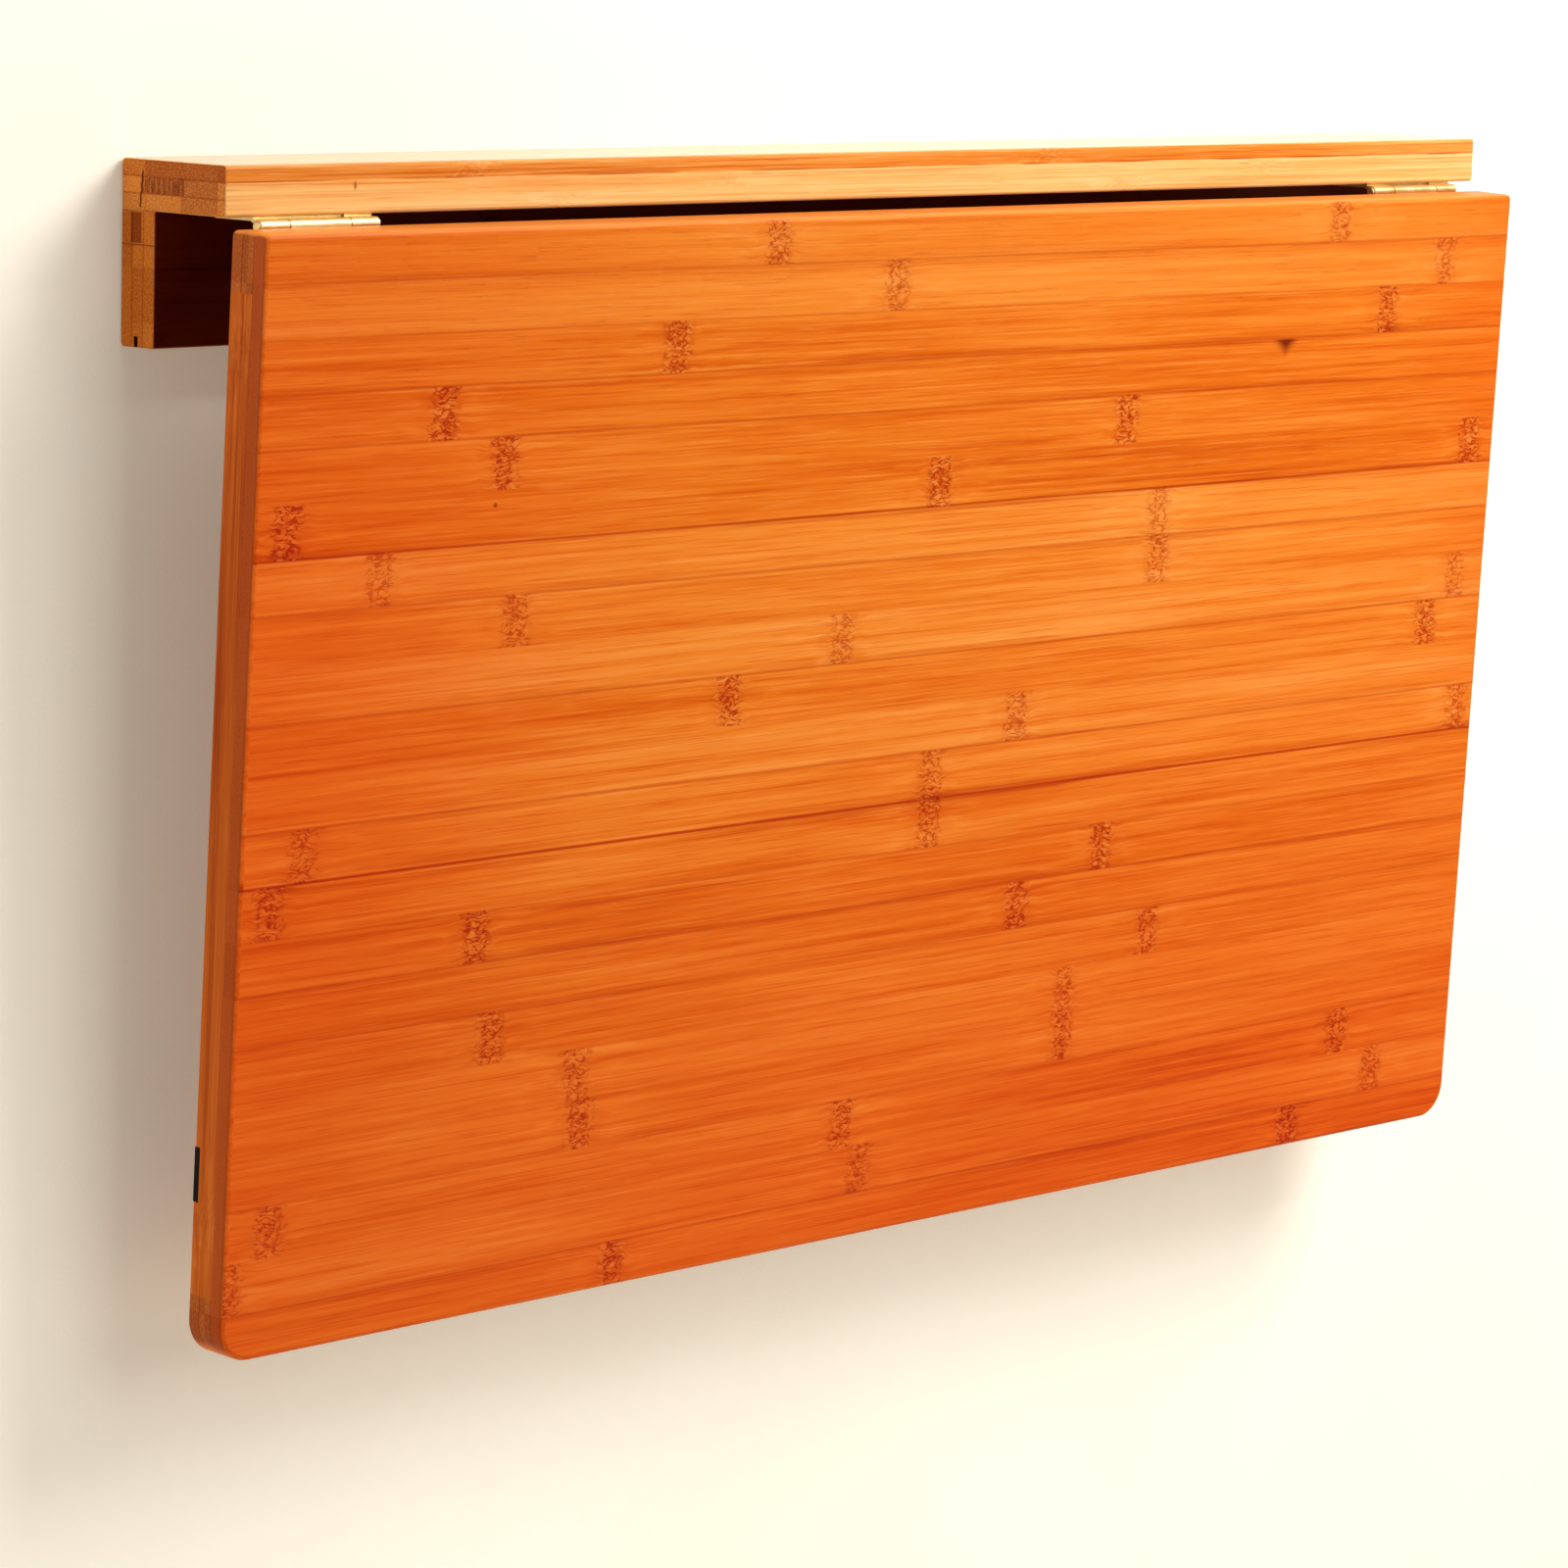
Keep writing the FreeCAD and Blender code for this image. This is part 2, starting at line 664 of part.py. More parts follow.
rail_dowel_radius = size.rail_dowel_diameter / 2
rail_dowel_pair = pair(size.rail_width / 2 - size.rail_dowel_inset)
rail_dowel_places = [
    (0, z - drop)
    for drop in (size.upper_rail_inset, lower_rail_drop)
    for z in rail_dowel_pair
]


def stile_side_outline(edge):
    """True on the outline of a stile's or foot's two sides, but not where the foot meets the stile."""
    at_side = any(lies_at(edge, "X", x) for x in pair(size.stile_width / 2))
    return at_side and not lies_at(edge, "Z", -prop_reach)


def prop_stile(side_name, side):
    body = pivot_body(f"{side_name}_prop_stile", side * stile_centre)
    outline = new_sketch(body, "YZ_Plane")
    rectangle(outline, -half_board, -prop_reach, half_board, 0)
    pad(body, outline, size.stile_width, symmetric=True)
    pad(body, discs(body, "YZ_Plane", 0, [(0, 0)], half_board), size.stile_width, symmetric=True)

    rounded(body, stile_side_outline, size.board_edge_radius)
    pocket(body, discs(body, "YZ_Plane", 0, [(0, 0)], size.pivot_pin_diameter / 2 + fit))
    seat = discs(body, "XZ_Plane", half_board, [(0, magnet_z)], size.magnet_diameter / 2 + fit)
    pocket(body, seat, size.magnet_thickness, back=True)
    peg = discs(body, "XY_Plane", -prop_reach, [(0, 0)], size.foot_peg_diameter / 2 + fit)
    pocket(body, peg, size.foot_peg_length + size.end_clearance)
    inner_face = -side * size.stile_width / 2
    holes = discs(body, "YZ_Plane", inner_face, rail_dowel_places, rail_dowel_radius + fit)
    pocket(body, holes, size.rail_dowel_length / 2 + size.end_clearance, back=side < 0)


def prop_rail(name, drop):
    body = pivot_body(name)
    outline = new_sketch(body, "YZ_Plane")
    rectangle(outline, -half_board, -drop - size.rail_width / 2, half_board, -drop + size.rail_width / 2)
    pad(body, outline, stile_inner * 2, symmetric=True)
    rounded(body, lambda edge: runs_along(edge, "X"), size.board_edge_radius)
    places = [(0, z - drop) for z in rail_dowel_pair]
    for side in SIDES.values():
        holes = discs(body, "YZ_Plane", side * stile_inner, places, rail_dowel_radius + fit)
        pocket(body, holes, size.rail_dowel_length / 2 + size.end_clearance, back=side > 0)


def prop_rail_dowels():
    body = pivot_body("prop_rail_dowels")
    for side in SIDES.values():
        start = side * stile_inner - size.rail_dowel_length / 2
        pad(body, discs(body, "YZ_Plane", start, rail_dowel_places, rail_dowel_radius), size.rail_dowel_length)
    chamfered(body, lambda edge: same_place(edge.BoundBox.XLength, 0), size.dowel_chamfer_width)


def prop_foot(side_name, side):
    body = pivot_body(f"{side_name}_prop_foot", side * stile_centre)
    tip = discs(body, "YZ_Plane", 0, [(0, -prop_reach)], half_board)
    pad(body, tip, size.stile_width, symmetric=True)
    upper_half = new_sketch(body, "YZ_Plane")
    beyond = half_board + size.cut_overrun_length
    rectangle(upper_half, -beyond, -prop_reach, beyond, beyond - prop_reach)
    pocket(body, upper_half)

    rounded(body, stile_side_outline, size.foot_edge_radius)
    peg = discs(body, "XY_Plane", -prop_reach, [(0, 0)], size.foot_peg_diameter / 2)
    pad(body, peg, size.foot_peg_length)


def prop_magnet(side_name, side):
    body = pivot_body(f"{side_name}_prop_magnet", side * stile_centre)
    face = discs(body, "XZ_Plane", half_board, [(0, magnet_z)], size.magnet_diameter / 2)
    pad(body, face, size.magnet_thickness, back=True)


def cuts_that_miss():
    """Names each cut that took nothing away."""
    missed = []
    for feature in doc.Objects:
        if feature.TypeId in ("PartDesign::Pocket", "PartDesign::Hole"):
            if feature.BaseFeature.Shape.Volume <= feature.Shape.Volume:
                missed.append(feature.Name)
    return missed


def build():
    shelf_board()
    wall_plate()
    shelf_dowels()
    for side_name, side in SIDES.items():
        hinge(side_name, side)
    leaf_panel()
    stiffener_bar()
    pivot_washers()
    prop_rail("prop_upper_rail", size.upper_rail_inset)
    prop_rail("prop_lower_rail", lower_rail_drop)
    prop_rail_dowels()
    for side_name, side in SIDES.items():
        end_batten(side_name, side)
        pivot_block(side_name, side)
        pivot_pin(side_name, side)
        prop_stile(side_name, side)
        prop_foot(side_name, side)
        prop_magnet(side_name, side)
    doc.recompute()


def checked():
    for feature in doc.Objects:
        if "Invalid" in feature.State or "Error" in feature.State:
            raise RuntimeError(f"{feature.Name} failed: {feature.State}")
    missed = cuts_that_miss()
    if missed:
        raise RuntimeError(f"cuts that miss: {missed}")
    for part in parts:
        if part.Shape.isNull() or not part.Shape.isValid():
            raise RuntimeError(f"{part.Label} has no valid shape")


build()
checked()
os.makedirs("parts", exist_ok=True)
for part in parts:
    part.Shape.exportStep(f"parts/{part.Label}.step")
    print(part.Label, len(part.Shape.Solids), round(part.Shape.Volume))
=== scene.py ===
import json
import math

import bmesh
import bpy
from mathutils import Matrix, Vector


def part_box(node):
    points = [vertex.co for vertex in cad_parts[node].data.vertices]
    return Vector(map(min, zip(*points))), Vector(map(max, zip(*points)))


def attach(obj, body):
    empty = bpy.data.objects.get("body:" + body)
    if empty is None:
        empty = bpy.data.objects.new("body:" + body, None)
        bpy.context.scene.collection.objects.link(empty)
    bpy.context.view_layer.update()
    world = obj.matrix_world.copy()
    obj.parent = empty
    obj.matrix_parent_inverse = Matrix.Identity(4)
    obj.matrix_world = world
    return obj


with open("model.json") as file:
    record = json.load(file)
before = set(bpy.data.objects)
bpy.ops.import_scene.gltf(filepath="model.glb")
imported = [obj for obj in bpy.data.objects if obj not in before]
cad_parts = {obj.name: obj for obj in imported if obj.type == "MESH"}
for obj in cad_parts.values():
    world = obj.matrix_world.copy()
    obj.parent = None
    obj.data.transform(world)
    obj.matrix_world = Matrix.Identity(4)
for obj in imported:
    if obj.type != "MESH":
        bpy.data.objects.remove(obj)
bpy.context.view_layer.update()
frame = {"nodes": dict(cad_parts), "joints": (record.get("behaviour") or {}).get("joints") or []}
joints = {joint["name"]: joint for joint in frame["joints"]}

# How the boards are turned; the hanging leaf leans outward from the hinge pins by a small angle
PIN_AXIS = joints["leaf_fold"]["pos_m"]
PIVOT_AXIS = joints["prop_swing"]["pos_m"]
QUARTER_TURN = math.radians(90)
LEAF_LEAN = math.radians(2.4)
UPRIGHT = Matrix.Identity(3)
LYING = Matrix.Rotation(QUARTER_TURN, 3, "X")
HANGING = Matrix.Rotation(LEAF_LEAN, 3, "X")
HANGING_GRAIN_DOWN = HANGING @ Matrix.Rotation(QUARTER_TURN, 3, "Y")
MILLIMETRE = 0.001

# Bamboo stock, in millimetres
STRIP_WIDTH = 19.23
PLY_THICKNESS = 6
BAND_SPACING = 310
BAND_HALF_WIDTH = 6
BAND_EDGE = 3

# Where each board's first glued joint lies across its strips, and where its first ply starts
LEAF_FIRST_JOINT, LEAF_FRONT = -17.7, -21.2
SHELF_FIRST_JOINT, SHELF_UNDERSIDE = 51, 24
PLATE_FIRST_JOINT, PLATE_FRONT = 4, -18
BATTEN_FIRST_JOINT, BATTEN_FRONT = 0, -15.2
STILE_FIRST_JOINT, RAIL_FIRST_JOINT, FRAME_FRONT = 3, 5, -9
LEAF_SPAN = 401
LEAF_MIDDLE = -12.2

# Strips of the leaf's front from the top: the shade of each, where its growth bands lie from the middle, and the
# line of the glued joint below it
LEAF_STRIPS = [
    ("plain", (-97, 236), "clear"), ("pale", (-31, 307), "soft"), ("dark", (-148, 270), "clear"),
    ("dark", (-263,), "clear"), ("dark", (-232, 108), "faint"), ("deep", (-335, 0, 333), "strong"),
    ("light", (-290, 132), "clear"), ("pale", (-223, 133), "faint"), ("light", (-50, 330), "clear"),
    ("dark", (-110, 312), "faint"), ("pale", (-420, 53), "clear"), ("pale", (-321, 5, 338), "bold"),
    ("plain", (-336, 5), "soft"), ("dark", (-236, 110), "clear"), ("dark", (-400, 60), "soft"),
    ("plain", (-226, 142), "faint"), ("pale", (-181, 93), "faint"), ("plain", (-178, 93), "soft"),
    ("plain", (-330, -35, 272), "faint"), ("pale", (-348, -24, 297), "clear"), ("dark", (-157, 243), "faint"),
]
SHADES = {"deep": 0.1, "dark": 0.3, "plain": 0.5, "pale": 0.72, "light": 0.9}
JOINT_LINES = {"faint": 0.1, "soft": 0.35, "clear": 0.6, "strong": 1, "bold": 1.5}
BAND_REACH = 450
BAND_SLOTS = 3
RAMP_STEPS = 32

# Patches of the grain along, through and across a strip, and how far it shifts and bends, in millimetres
DRIFT_SIZE = (260, 60, 60)
STREAK_SIZE = (170, 2.8, 2.8)
THREAD_SIZE = (130, 0.8, 0.8)
FIBRE_SIZE = (30, 0.55, 0.55)
FLAME_SIZE = (22, 3, 3)
BEND_SIZE = (9, 5, 5)
RAGGED_SIZE = (4, 2, 2)
WAVE_SIZE = (4, 3, 3)
RIPPLE_SIZE = (5, 1.5, 1.5)
PORE_SIZE = (1, 0.5, 0.9)
JOINT_FADE_SIZE = (120, 1, 1)
SEAM_BREAK_SIZE = (45, 1, 9)
JOINT_FADE_STEP = 50
STRIP_SHIFT = 900
BEND_DEPTH = 5
RAGGED_DEPTH = 9
WAVE_DEPTH = 4
GRAIN_DEPTH = 0.04

# How much each part of the grain shows
SHADE_WEIGHT = 0.3
STREAK_WEIGHT = 0.74
DRIFT_WEIGHT = 0.4
FLAME_WEIGHT = 0.14
TONE_STOPS = (0.1, 0.36, 0.6, 0.92)
END_TONE_STOPS = (0.3, 0.7)
HAIR_STRENGTH = 0.58
GLINT_STRENGTH = 0.28
JOINT_SHADOW_STRENGTH = 0.5
# Painted highlight between the ripples of a growth band
RIPPLE_PAINTED_HIGHLIGHT_STRENGTH = 0.6
HALO_STRENGTH = 0.12
BAND_STRENGTH = 0.1
MARK_STRENGTH = 0.95
END_STRENGTH = 0.9
END_SHADE_WEIGHT = 0.1
END_VARIETY = 0.3
PLATE_END_VARIETY = 0.12
ARRIS_STRENGTH = 0.2
SEAM_STRENGTH = 0.8
END_SEAM_STRENGTH = 0.6

# The seam between plies, counted from where the first ply starts, that shows along a board's edges
BROKEN_SEAM = 2

# How rough the lacquered wood is, and how much hairs and marks add to it; how high streaks stand, and how deep
# hairs and marks lie, as shares of the grain's depth
WOOD_ROUGHNESS, HAIR_ROUGHNESS, MARK_ROUGHNESS = 0.36, 0.12, 0.1
STREAK_HEIGHT, HAIR_SINK, MARK_SINK = 0.3, 0.5, 0.8

# How far a face looks along an axis, from where a pattern starts to where it is full
BROAD_FACE = (0.5, 0.9)
END_FACE = (0.6, 0.9)

# Which set of steady chances a look takes
SHADE_SEED, SHIFT_SEED, BAND_SEED, JOINT_SEED = 3, 5, 7, 11

# Marks on single boards, in millimetres
KNOT_PLACE = (205, -56.4)
KNOT_TAPER = 1.2
PIN_KNOT_PLACE = (-236, -100)
SHELF_TICK_PLACE = (-290, 34)
SHELF_TICK_LENGTHENING = 2
SHELF_LINE_SIZE = (110, 0.7, 0.7)
SHELF_LINE_HEIGHTS = (31, 39)
SHELF_STAIN_HEIGHTS = (30, 36)
SHELF_STAIN_DEPTHS = (10.5, 33.5)
SHELF_STAIN_STREAK_SIZE = (1, 7, 0.9)
CRACK_START = 6.6
CRACK_LEAN = 0.107
CRACK_HEIGHTS = (24.5, 38.5)
CRACK_WOBBLE_SIZE = (1, 2, 1)
CRACK_WOBBLE = 1.6
PLATE_STAIN_DEPTHS = (-11, -5)
PLATE_STAIN_HEIGHTS = (12.5, 23.5)
PLATE_LINE_HEIGHT = 12

# Room: places in metres, lamp powers in watts, the camera's turn in degrees and its lens and sensor in millimetres
FLOOR_LEVEL = -0.9
ROOM_SIZE = 6
WALL_GAP = 0.0005
WALL_GLOW = 0.22
ROOM_LIGHT = 0.18
LAMPS = [
    # name, place, aim, size, power, colour
    ("window", (0.82, -1.1, 1.0), (0, 0, -0.1), 0.9, 29, "#FFFAF0"),
    ("front", (0.2, -2.6, 0.8), (0, 0, -0.1), 1.6, 19, "#FFFAF0"),
    ("left", (-2.2, 0.25, 0.15), (-0.35, -0.03, -0.1), 0.8, 17, "#FFF4E6"),
    ("behind", (0.3, 1.6, -0.3), (0, 0, -0.2), 1.2, 12, "#FFFFFF"),
]
CAMERA_PLACE = (-1.7216, -1.6372, 0.1471)
CAMERA_TURN = (81.4205, -1.5218, -46.0949)
CAMERA_LENS = 139.04
CAMERA_SENSOR = 36
CAMERA_REACH = 50

# Caps at the bar's ends, in metres
CAP_FIT = 0.0001
CAP_EDGE = 0.0002


def linear(hex_colour):
    """A hex colour as the linear red, green, blue and alpha that shaders take."""
    channels = [int(hex_colour[place:place + 2], 16) / 255 for place in (1, 3, 5)]
    return [c / 12.92 if c <= 0.04045 else ((c + 0.055) / 1.055) ** 2.4 for c in channels] + [1]


def tones(*hex_colours):
    return [linear(colour) for colour in hex_colours]


# Deep, dark, plain and light wood of each board, the two tones of its end grain, the tints of its details, and the
# colours of painted light and painted shade on some faces
LEAF_TONES = tones("#C44303", "#E47012", "#F0892C", "#FAA854")
SHELF_TONES = tones("#E48428", "#F4A450", "#FCC67A", "#FFD898")
PLATE_TONES = tones("#9A4A12", "#C0701E", "#D28632", "#E29E4C")
BATTEN_TONES = tones("#702402", "#A04208", "#BC5C16", "#D87E34")
FRAME_TONES = tones("#9A4A10", "#C06C20", "#D28432", "#E29E4C")
LEAF_END_TONES = tones("#7C340C", "#BA6028")
SHELF_END_TONES = tones("#8C3806", "#D67E28")
PLATE_END_TONES = tones("#964408", "#D07A28")
BATTEN_END_TONES = tones("#843406", "#C06410")
LEAF_END_FRONT_TONE = linear("#A64008")
# Painted light: the pale cream that the shelf's top is mixed toward, for the light and sheen on it
SHELF_TOP_PAINTED_LIGHT = linear("#F6CE88")
# Painted shade: the dark tint of the wall plate's front, which lies in the shadowed recess under the shelf
PLATE_FRONT_PAINTED_SHADE = linear("#743C2A")
HAIR_TINT = linear("#EDB684")
GLUE_TINT = linear("#CE8850")
BAND_TINT = linear("#C87A44")
STAIN_TINT = linear("#B89888")
CRACK_TINT = linear("#8C6850")
KNOT_TINT = linear("#905838")
# Painted shade: the tint that reddens and darkens the leaf's front where less light falls
PAINTED_SHADE_TINT = linear("#FBC6A0")


class Flow:
    """A value on its way through a material's nodes; sums and products add the nodes they need."""

    def __init__(self, tree, socket):
        self.tree = tree
        self.socket = socket

    def math(self, operation, *others):
        node = self.tree.nodes.new("ShaderNodeMath")
        node.operation = operation
        for socket, value in zip(node.inputs, (self, *others)):
            join(self.tree, socket, value)
        return Flow(self.tree, node.outputs[0])

    def __add__(self, other):
        return self.math("ADD", other)

    def __sub__(self, other):
        return self.math("SUBTRACT", other)

    def __mul__(self, other):
        return self.math("MULTIPLY", other)

    def __truediv__(self, other):
        return self.math("DIVIDE", other)

    def rising(self, low, high):
        """Goes smoothly from 0 at the low value to 1 at the high one."""
        node = self.tree.nodes.new("ShaderNodeMapRange")
        node.interpolation_type = "SMOOTHSTEP"
        for name, value in (("Value", self), ("From Min", low), ("From Max", high)):
            join(self.tree, node.inputs[name], value)
        return Flow(self.tree, node.outputs["Result"])

    def falling(self, low, high):
        """Goes smoothly from 1 at the low value to 0 at the high one."""
        return self.rising(low, high) * -1 + 1


def join(tree, socket, value):
    """Links a flow to a socket, or sets the socket to a plain value."""
    if isinstance(value, Flow):
        tree.links.new(value.socket, socket)
    else:
        socket.default_value = value


def gap_to_whole(value):
    """How far a value is from the nearest whole number."""
    fraction = value.math("FRACT")
    return fraction.math("MINIMUM", fraction * -1 + 1)


def spot_gap(first, second, spot):
    """How far a point is from a spot."""
    apart = (first - spot[0]).math("POWER", 2) + (second - spot[1]).math("POWER", 2)
    return apart.math("SQRT")


def between(value, limits, edge=0.3):
    """Is 1 between two limits, with soft edges inside them."""
    low, high = limits
    return value.rising(low, low + edge) * value.falling(high - edge, high)


class Finish:
    """One material and the calls that lay its pattern, with lengths in millimetres."""

    def __init__(self, name):
        self.material = bpy.data.materials.new(name)
        self.material.use_nodes = True
        self.tree = self.material.node_tree
        self.shader = self.tree.nodes["Principled BSDF"]

    def node(self, kind, **settings):
        made = self.tree.nodes.new(f"ShaderNode{kind}")
        for name, value in settings.items():
            setattr(made, name, value)
        return made

    def give(self, **sockets):
        """Sets the shader's sockets by name, with an underscore for each space."""
        for name, value in sockets.items():
            join(self.tree, self.shader.inputs[name.replace("_", " ")], value)

    def turned(self, source, origin, turn, unit):
        """A texture coordinate along the axes of a board, in the unit given."""
        mapping = self.node("Mapping", vector_type="TEXTURE")
        self.tree.links.new(self.node("TexCoord").outputs[source], mapping.inputs["Vector"])
        mapping.inputs["Location"].default_value = origin
        mapping.inputs["Rotation"].default_value = turn.to_euler()
        mapping.inputs["Scale"].default_value = [unit] * 3
        return Flow(self.tree, mapping.outputs["Vector"])

    def place(self, origin=(0, 0, 0), turn=UPRIGHT):
        """Millimetres along the axes of a board that starts at an origin and is turned."""
        return self.turned("Object", origin, turn, MILLIMETRE)

    def facing(self, turn):
        """How far a face looks along each axis of a board that is turned."""
        return self.split(self.turned("Normal", (0, 0, 0), turn, 1))

    def split(self, vector):
        node = self.node("SeparateXYZ")
        join(self.tree, node.inputs[0], vector)
        return [Flow(self.tree, output) for output in node.outputs]

    def joined(self, x, y, z):
        node = self.node("CombineXYZ")
        for socket, value in zip(node.inputs, (x, y, z)):
            join(self.tree, socket, value)
        return Flow(self.tree, node.outputs[0])

    def noise(self, vector, lengths, detail=2, roughness=0.5):
        """Smooth noise whose patches are about as long, wide and deep as the three lengths."""
        scaled = self.node("VectorMath", operation="DIVIDE")
        join(self.tree, scaled.inputs[0], vector)
        join(self.tree, scaled.inputs[1], lengths)
        noise = self.node("TexNoise")
        self.tree.links.new(scaled.outputs[0], noise.inputs["Vector"])
        for name, value in (("Scale", 1), ("Detail", detail), ("Roughness", roughness)):
            noise.inputs[name].default_value = value
        return Flow(self.tree, noise.outputs[0])

    def chance(self, first, second, seed):
        """A steady number from 0 to 1 for each pair of whole numbers and seed."""
        node = self.node("TexWhiteNoise", noise_dimensions="3D")
        join(self.tree, node.inputs["Vector"], self.joined(first, second, seed))
        return Flow(self.tree, node.outputs["Value"])

    def ramp(self, factor, stops, interpolation="LINEAR"):
        """A colour from stops, each a position from 0 to 1 and a colour."""
        node = self.node("ValToRGB")
        node.color_ramp.interpolation = interpolation
        elements = node.color_ramp.elements
        while len(elements) < len(stops):
            elements.new(1)
        for element, (position, colour) in zip(elements, stops):
            element.position = position
            element.color = colour
        join(self.tree, node.inputs["Fac"], factor)
        return Flow(self.tree, node.outputs["Color"])

    def mixed(self, amount, first, second, blend="MIX"):
        node = self.node("Mix", data_type="RGBA", blend_type=blend)
        join(self.tree, node.inputs["Factor"], amount)
        colours = [socket for socket in node.inputs if socket.type == "RGBA"]
        join(self.tree, colours[0], first)
        join(self.tree, colours[1], second)
        return Flow(self.tree, [socket for socket in node.outputs if socket.type == "RGBA"][0])

    def tinted(self, amount, colour, tint):
        """Multiplies a colour by a tint, as far as the amount goes."""
        return self.mixed(amount, colour, tint, "MULTIPLY")

    def bumped(self, height, depth):
        """Raises the surface by a height from 0 to 1, times a depth in millimetres."""
        node = self.node("Bump")
        join(self.tree, node.inputs["Height"], height)
        node.inputs["Distance"].default_value = depth * MILLIMETRE
        self.give(Normal=Flow(self.tree, node.outputs["Normal"]))


# Bamboo boards


class Bamboo:
    """Strips that run along a board's X, joined every strip width in Z and in plies through Y."""

    def __init__(self, finish, place, facing, first_joint, front):
        self.finish = finish
        self.x, self.y, self.z = place
        self.across = facing[0].math("ABSOLUTE")
        self.end = self.across.rising(*END_FACE)
        self.broad = facing[1].math("ABSOLUTE").rising(*BROAD_FACE)
        self.steps = (self.z * -1 + first_joint) / STRIP_WIDTH
        self.strip = self.steps.math("FLOOR") + 1
        self.joint = self.steps.math("ROUND")
        self.plies = (self.y - front) / PLY_THICKNESS
        self.ply = self.plies.math("FLOOR")

    def lay(self, shade, gap, joint_strength, wood, ends, end_variety=END_VARIETY):
        """The colour of strips of a shade, with growth bands a gap away and joints that show by a strength."""
        self.shade = shade
        self.gap = gap
        self.bend_grain()
        colour = self.grain(wood)
        colour = self.joint_lines(colour, joint_strength)
        colour = self.growth_bands(colour, wood)
        colour = self.end_grain(colour, ends, end_variety)
        self.finish.give(Roughness=self.hairs * HAIR_ROUGHNESS + self.mark * MARK_ROUGHNESS + WOOD_ROUGHNESS)
        height = self.streaks * STREAK_HEIGHT - self.hairs * HAIR_SINK - self.mark * MARK_SINK - self.line
        self.finish.bumped(height, GRAIN_DEPTH)
        return self.ply_seams(colour)

    def bend_grain(self):
        """Shifts each strip's grain along it by chance, and bends the grain beside a growth band."""
        finish = self.finish
        x = self.x + finish.chance(self.strip, self.ply, SHIFT_SEED) * STRIP_SHIFT
        self.shifted = finish.joined(x, self.y, self.z)
        bend = (finish.noise(self.shifted, BEND_SIZE, detail=1) - 0.5) * self.gap.falling(2, 20) * BEND_DEPTH
        self.along = finish.joined(x, self.y, self.z + bend)

    def grain(self, wood):
        """Broad drifts and streaks of tone, flames beside the bands, dark hairs and threads, and pale glints."""
        finish = self.finish
        drift = finish.noise(self.along, DRIFT_SIZE, detail=1)
        self.streaks = finish.noise(self.along, STREAK_SIZE, detail=3, roughness=0.6)
        fibres = finish.noise(self.along, FIBRE_SIZE, detail=2, roughness=0.55)
        self.hairs = fibres.rising(0.55, 0.72)
        threads = finish.noise(self.along, THREAD_SIZE, detail=1).rising(0.6, 0.72)
        glints = fibres.falling(0.3, 0.46)
        flame = self.gap.falling(8, 50) * finish.noise(self.along, FLAME_SIZE).rising(0.45, 0.65)
        tone = (self.shade - 0.5) * SHADE_WEIGHT + (self.streaks - 0.5) * STREAK_WEIGHT
        tone = tone + (drift - 0.5) * DRIFT_WEIGHT + flame * FLAME_WEIGHT + 0.5
        colour = finish.ramp(tone, list(zip(TONE_STOPS, wood)))
        colour = finish.tinted(self.hairs.math("MAXIMUM", threads) * HAIR_STRENGTH, colour, HAIR_TINT)
        return finish.mixed(glints * GLINT_STRENGTH, colour, wood[-1])

    def joint_lines(self, colour, strength):
        """Fine glue lines that fade in and out, with a soft shadow on the dark streaks beside them."""
        finish = self.finish
        gap = gap_to_whole(self.steps) * STRIP_WIDTH
        fade = finish.noise(finish.joined(self.x, self.joint * JOINT_FADE_STEP, 0), JOINT_FADE_SIZE)
        self.line = gap.falling(0.2, 0.85) * strength * (fade.rising(0.3, 0.7) * 0.35 + 0.65)
        shadow = gap.falling(0.5, 4) * self.streaks.falling(0.35, 0.6) * strength * JOINT_SHADOW_STRENGTH
        return finish.tinted(self.line.math("MAXIMUM", shadow), colour, GLUE_TINT)

    def growth_bands(self, colour, wood):
        """Ragged bands of dark ripples with painted highlights between them, weaker on pale strips and on edges."""
        finish = self.finish
        weight = self.shade * -0.5 + 1.1
        ragged_gap = self.gap + (finish.noise(self.along, RAGGED_SIZE, detail=1) - 0.5) * RAGGED_DEPTH
        in_band = ragged_gap.falling(BAND_HALF_WIDTH - BAND_EDGE, BAND_HALF_WIDTH + BAND_EDGE)
        in_band = in_band * (self.broad * 0.85 + 0.15) * weight
        wave = (finish.noise(self.shifted, WAVE_SIZE, detail=1) - 0.5) * WAVE_DEPTH
        ripples = finish.noise(finish.joined(self.x, self.y, self.z + wave), RIPPLE_SIZE, detail=1)
        ripples = (ripples - 0.5).math("ABSOLUTE")
        self.mark = in_band * ripples.falling(0.01, 0.075)
        # Painted highlight: pale between the ripples, as light catches their raised wood
        colour = finish.mixed(in_band * ripples.rising(0.1, 0.2) * RIPPLE_PAINTED_HIGHLIGHT_STRENGTH, colour, wood[-1])
        halo = ragged_gap.falling(2, 18) * self.broad * weight
        dark = halo * HALO_STRENGTH + in_band * BAND_STRENGTH + self.mark * MARK_STRENGTH
        return finish.tinted(dark, colour, BAND_TINT)

    def end_grain(self, colour, ends, variety):
        """Pores on the ends, each strip in its own shade, and darker rounded edges round the ends."""
        finish = self.finish
        pores = finish.noise(finish.joined(0, self.y, self.z), PORE_SIZE)
        chance = finish.chance(self.strip, self.ply, SHADE_SEED)
        shade = (chance - 0.5) * variety + (self.shade - 0.5) * END_SHADE_WEIGHT + pores
        grain = finish.ramp(shade, list(zip(END_TONE_STOPS, ends)))
        colour = finish.mixed(self.end * END_STRENGTH, colour, grain)
        arris = self.across.rising(0.3, 0.6) * self.across.falling(0.9, 0.995)
        return finish.tinted(arris * ARRIS_STRENGTH, colour, GLUE_TINT)

